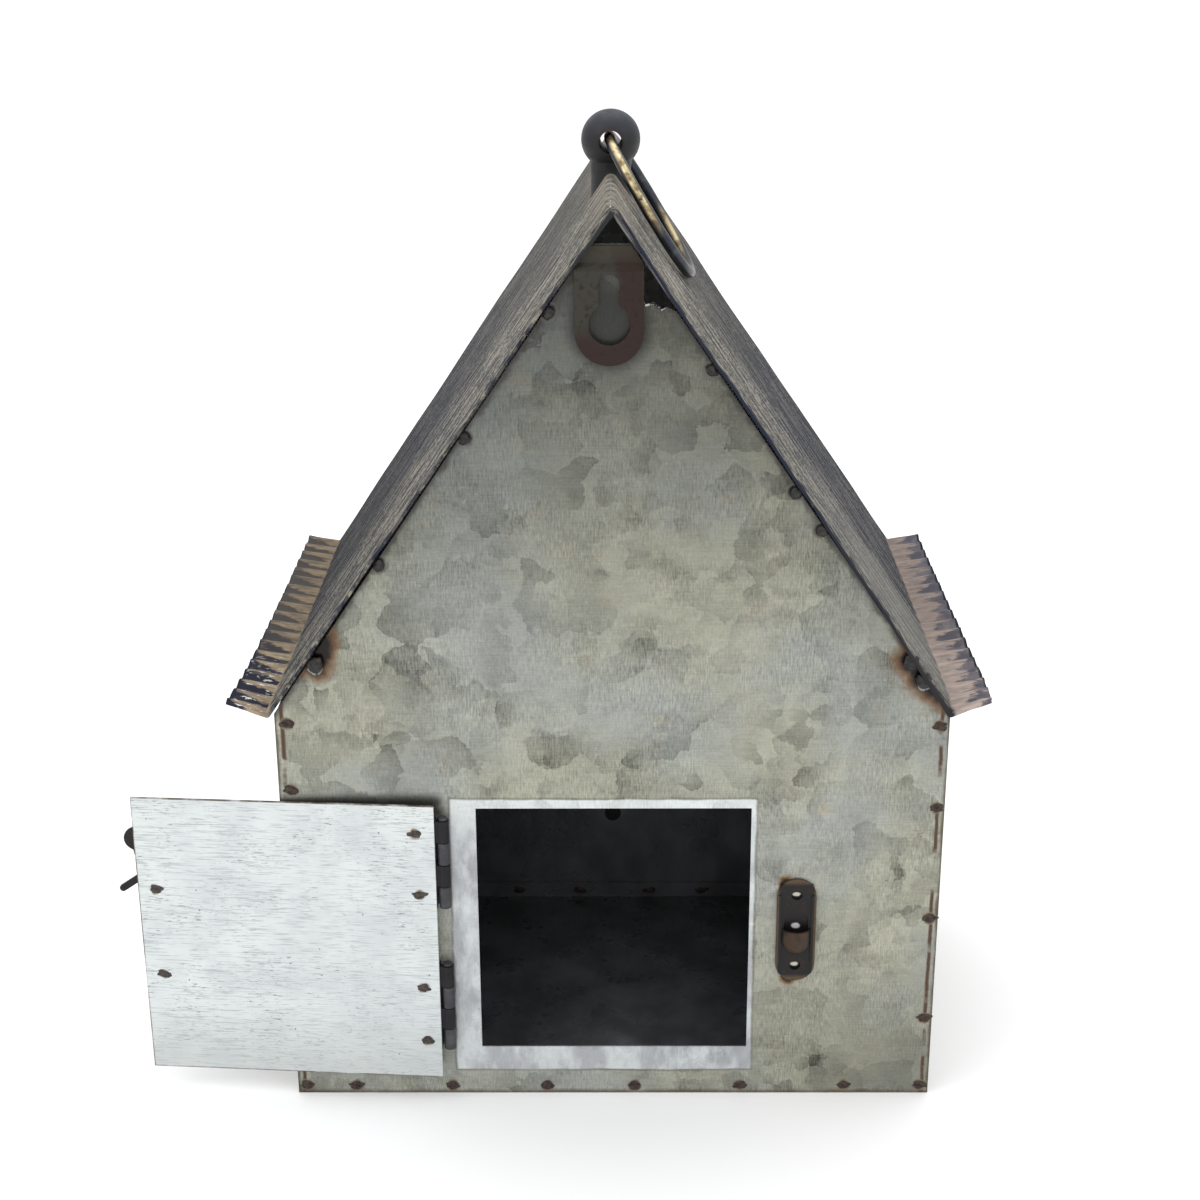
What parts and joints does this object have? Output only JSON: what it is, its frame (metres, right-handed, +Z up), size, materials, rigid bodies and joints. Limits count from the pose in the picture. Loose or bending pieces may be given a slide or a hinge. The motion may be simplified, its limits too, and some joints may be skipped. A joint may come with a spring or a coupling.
{
  "type": "hanging lantern",
  "caption": "House-shaped galvanised lantern with a hinged rear door, swing-hook latch, corrugated roof, keyhole hanger and hanging ring.",
  "frame": {"origin": "centre of the floor's underside, midway between the walls", "axes": "+Z up; -Y is the rear wall with the door; +X to the right as seen from the rear"},
  "size_m": [0.2833, 0.1759, 0.3193],
  "materials": {
    "galvanised_sheet": "spangled galvanised sheet with a grey-olive wash",
    "bright_zinc": "clean scratched zinc",
    "roof_sheet": "slate grey, dry-brushed pale along the crests",
    "gunmetal": "dark blued steel, satin",
    "burnt_steel": "dark heat-browned steel with rust at the edges",
    "rusted_steel": "red-brown rusted steel with worn olive wash",
    "weld_metal": "burnt spot-weld marks",
    "ring_wire": "yellowed zinc-plated wire, worn"
  },
  "bodies": {
    "house": {"rear_wall": "galvanised_sheet", "front_wall": "galvanised_sheet", "left_side_wall": "galvanised_sheet", "right_side_wall": "galvanised_sheet", "floor_pan": "galvanised_sheet", "perch_rod": "gunmetal", "roof_sheet": "roof_sheet", "finial_ball": "gunmetal", "finial_neck": "gunmetal", "finial_saddle": "gunmetal", "finial_screw": "gunmetal", "hanger_tab": "rusted_steel", "keeper_plate": "burnt_steel", "wall_spot_welds": "weld_metal", "floor_spot_welds": "weld_metal", "roof_tack_welds": "weld_metal", "upper_hinge_wall_leaf": "burnt_steel", "lower_hinge_wall_leaf": "burnt_steel", "upper_hinge_pin": "burnt_steel", "lower_hinge_pin": "burnt_steel"},
    "door": {"door_panel": "bright_zinc", "latch_plate": "burnt_steel", "latch_rivet": "burnt_steel", "door_spot_welds": "weld_metal", "upper_hinge_door_leaf": "burnt_steel", "lower_hinge_door_leaf": "burnt_steel"},
    "latch": {"latch_lever": "burnt_steel"},
    "ring": {"hanging_ring": "ring_wire"}
  },
  "joints": [
    {"name": "door_hinge", "type": "hinge", "parent": "house", "child": "door", "pos_m": [-0.0544, -0.0718, 0.06], "axis": [0, 0, 1], "range_deg": [0, 184]},
    {"name": "latch_pivot", "type": "hinge", "parent": "door", "child": "latch", "pos_m": [-0.14946, -0.06796, 0.06065], "axis": [-0.0698, -0.9976, 0], "range_deg": [-120, 55]},
    {"name": "ring_swing", "type": "hinge", "parent": "house", "child": "ring", "pos_m": [0, 0.004, 0.3098], "axis": [0, -1, 0], "range_deg": [0, 297]}
  ]
}
